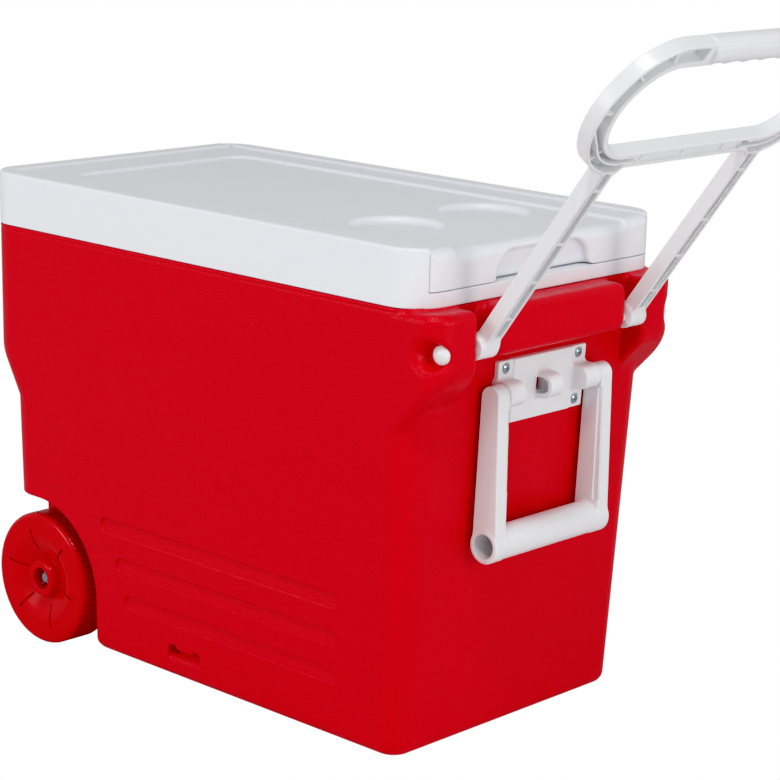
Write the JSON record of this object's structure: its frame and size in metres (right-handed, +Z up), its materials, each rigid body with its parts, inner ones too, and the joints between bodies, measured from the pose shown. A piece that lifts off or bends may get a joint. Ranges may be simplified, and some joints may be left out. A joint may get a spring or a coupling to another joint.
{
  "type": "wheeled cooler",
  "caption": "Hard insulated cooler that rolls, with a swing-up tow handle, a hanging carry handle and a hinged lid with cup rests.",
  "frame": {"origin": "on the ground, under the middle of the bounding box with the tow handle standing as stored", "axes": "+X towards the handle end, +Z up, the long sides face -Y (right) and +Y (left)"},
  "size_m": [0.7384, 0.306, 0.616],
  "materials": {
    "red_plastic": "satin",
    "wheel_plastic": "satin",
    "white_plastic": "satin",
    "foam": "matte",
    "screw_steel": "satin"
  },
  "bodies": {
    "body": {"outer_shell": "red_plastic", "body_foam": "foam", "liner": "white_plastic", "lid_pin_left": "white_plastic", "lid_pin_right": "white_plastic", "handle_pin_left": "white_plastic", "handle_pin_right": "white_plastic", "bail_bracket": "white_plastic", "bracket_screws": "screw_steel", "axle": "screw_steel", "push_nut_left": "screw_steel", "push_nut_right": "screw_steel", "washer_left": "screw_steel", "washer_right": "screw_steel"},
    "lid": {"lid_top": "white_plastic", "lid_liner": "white_plastic", "lid_foam": "foam"},
    "tow_handle": {"tow_handle": "white_plastic"},
    "bail_handle": {"bail_handle": "white_plastic"},
    "wheel_left": {"wheel_left": "wheel_plastic"},
    "wheel_right": {"wheel_right": "wheel_plastic"}
  },
  "joints": [
    {"name": "lid_hinge", "type": "hinge", "parent": "body", "child": "lid", "pos_m": [-0.35015, 0, 0.424], "axis": [0, -1, 0], "range_deg": [0, 100]},
    {"name": "tow_pivot", "type": "hinge", "parent": "body", "child": "tow_handle", "pos_m": [0.18185, 0, 0.36], "axis": [0, 1, 0], "range_deg": [-35.8, 144.2]},
    {"name": "bail_pivot", "type": "hinge", "parent": "body", "child": "bail_handle", "pos_m": [0.17435, 0, 0.3135], "axis": [0, -1, 0], "range_deg": [0, 115]},
    {"name": "wheel_left_spin", "type": "hinge", "parent": "body", "child": "wheel_left", "pos_m": [-0.30715, 0.125, 0.062], "axis": [0, 1, 0], "continuous": true},
    {"name": "wheel_right_spin", "type": "hinge", "parent": "body", "child": "wheel_right", "pos_m": [-0.30715, -0.125, 0.062], "axis": [0, 1, 0], "continuous": true}
  ]
}
